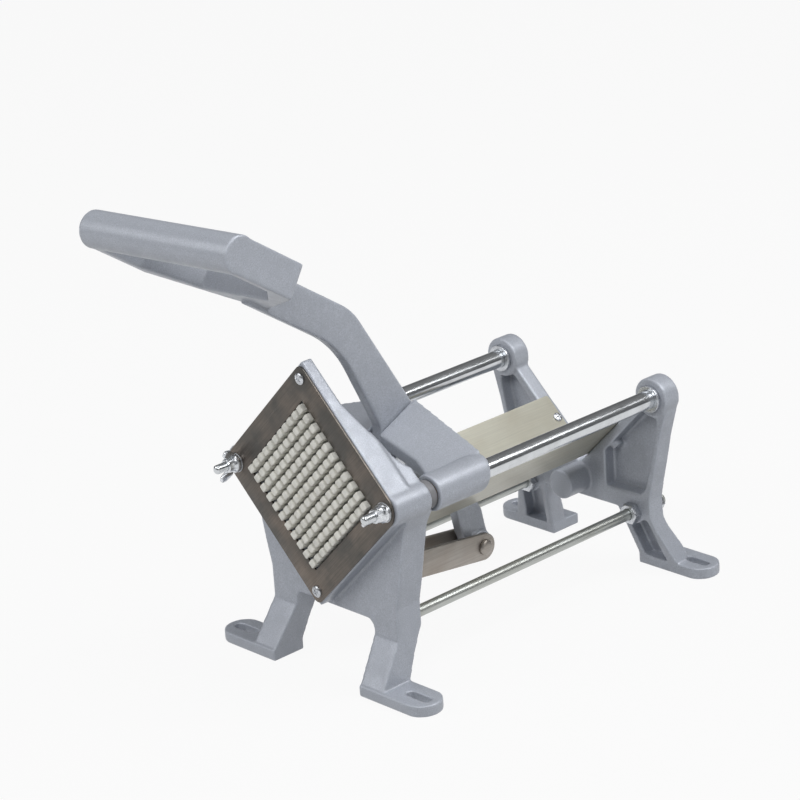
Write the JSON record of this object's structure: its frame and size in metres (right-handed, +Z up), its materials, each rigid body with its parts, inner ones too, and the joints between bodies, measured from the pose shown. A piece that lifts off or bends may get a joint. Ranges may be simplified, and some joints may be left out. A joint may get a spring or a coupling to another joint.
{
  "type": "french fry cutter",
  "caption": "Bench-standing lever press that slides a peg block along two guide rods and pushes a potato through a square grid of blades standing on its corner.",
  "frame": {"origin": "centre of the four foot slots, on the plane that the feet rest on", "axes": "+X to the object's right, -Y towards the blade end, +Y towards the rear, +Z up"},
  "size_m": [0.252, 0.5068, 0.4277],
  "materials": {
    "casting": "fine sand-cast texture, satin",
    "guide_rod": "polished",
    "tie_rod": "zinc plated, satin",
    "zinc_steel": "zinc plated",
    "wing_nut": "bright zinc plated",
    "cover_plate": "brushed",
    "blade": "ground edges",
    "trough_sheet": "matt stainless sheet",
    "link_steel": "mill finish",
    "bush": "sintered bronze",
    "peg_plastic": "moulded",
    "buffer": "smooth"
  },
  "bodies": {
    "frame": {"front_casting": "casting", "rear_casting": "casting", "guide_rods": "guide_rod", "guide_rod_bolts": "zinc_steel", "rear_collars": "zinc_steel", "front_buffers": "buffer", "tie_rods": "tie_rod", "tie_rod_nuts": "zinc_steel", "trough_left": "trough_sheet", "trough_right": "trough_sheet", "trough_screws": "zinc_steel", "blade_plate": "cover_plate", "blade_holder": "casting", "blades_rising": "blade", "blades_falling": "blade", "blade_screws": "zinc_steel", "stud_washers": "zinc_steel"},
    "wing_nut_left": {"wing_nut_left": "wing_nut"},
    "wing_nut_right": {"wing_nut_right": "wing_nut"},
    "carriage": {"carriage": "casting", "sleeve_bushes": "bush", "pusher_block": "peg_plastic", "pusher_screws": "zinc_steel", "pivot_bolt": "zinc_steel", "pivot_nut": "zinc_steel"},
    "lever": {"lever": "casting", "lever_bush": "bush"},
    "link": {"link_bars": "link_steel", "link_rear_pin": "link_steel", "link_front_pin": "link_steel", "pin_clips": "link_steel"}
  },
  "joints": [
    {"name": "carriage_slide", "type": "slide", "parent": "frame", "child": "carriage", "axis": [0, 1, 0], "range_m": [0, 0.15]},
    {"name": "lever_pivot", "type": "hinge", "parent": "carriage", "child": "lever", "pos_m": [0, -0.093, 0.169], "axis": [-1, 0, 0], "range_deg": [0, 64.3]},
    {"name": "link_pivot", "type": "hinge", "parent": "lever", "child": "link", "pos_m": [0, 0.002, 0.057], "axis": [1, 0, 0], "range_deg": [0, 55.03]},
    {"name": "wing_nut_left_spin", "type": "hinge", "parent": "frame", "child": "wing_nut_left", "pos_m": [-0.089, -0.186, 0.169], "axis": [0, 1, 0], "continuous": true},
    {"name": "wing_nut_right_spin", "type": "hinge", "parent": "frame", "child": "wing_nut_right", "pos_m": [0.089, -0.186, 0.169], "axis": [0, 1, 0], "continuous": true}
  ],
  "couplings": [
    {"joint": "lever_pivot", "follows": "carriage_slide", "rad_per_m": 7.4815},
    {"joint": "link_pivot", "follows": "carriage_slide", "rad_per_m": 6.402}
  ]
}
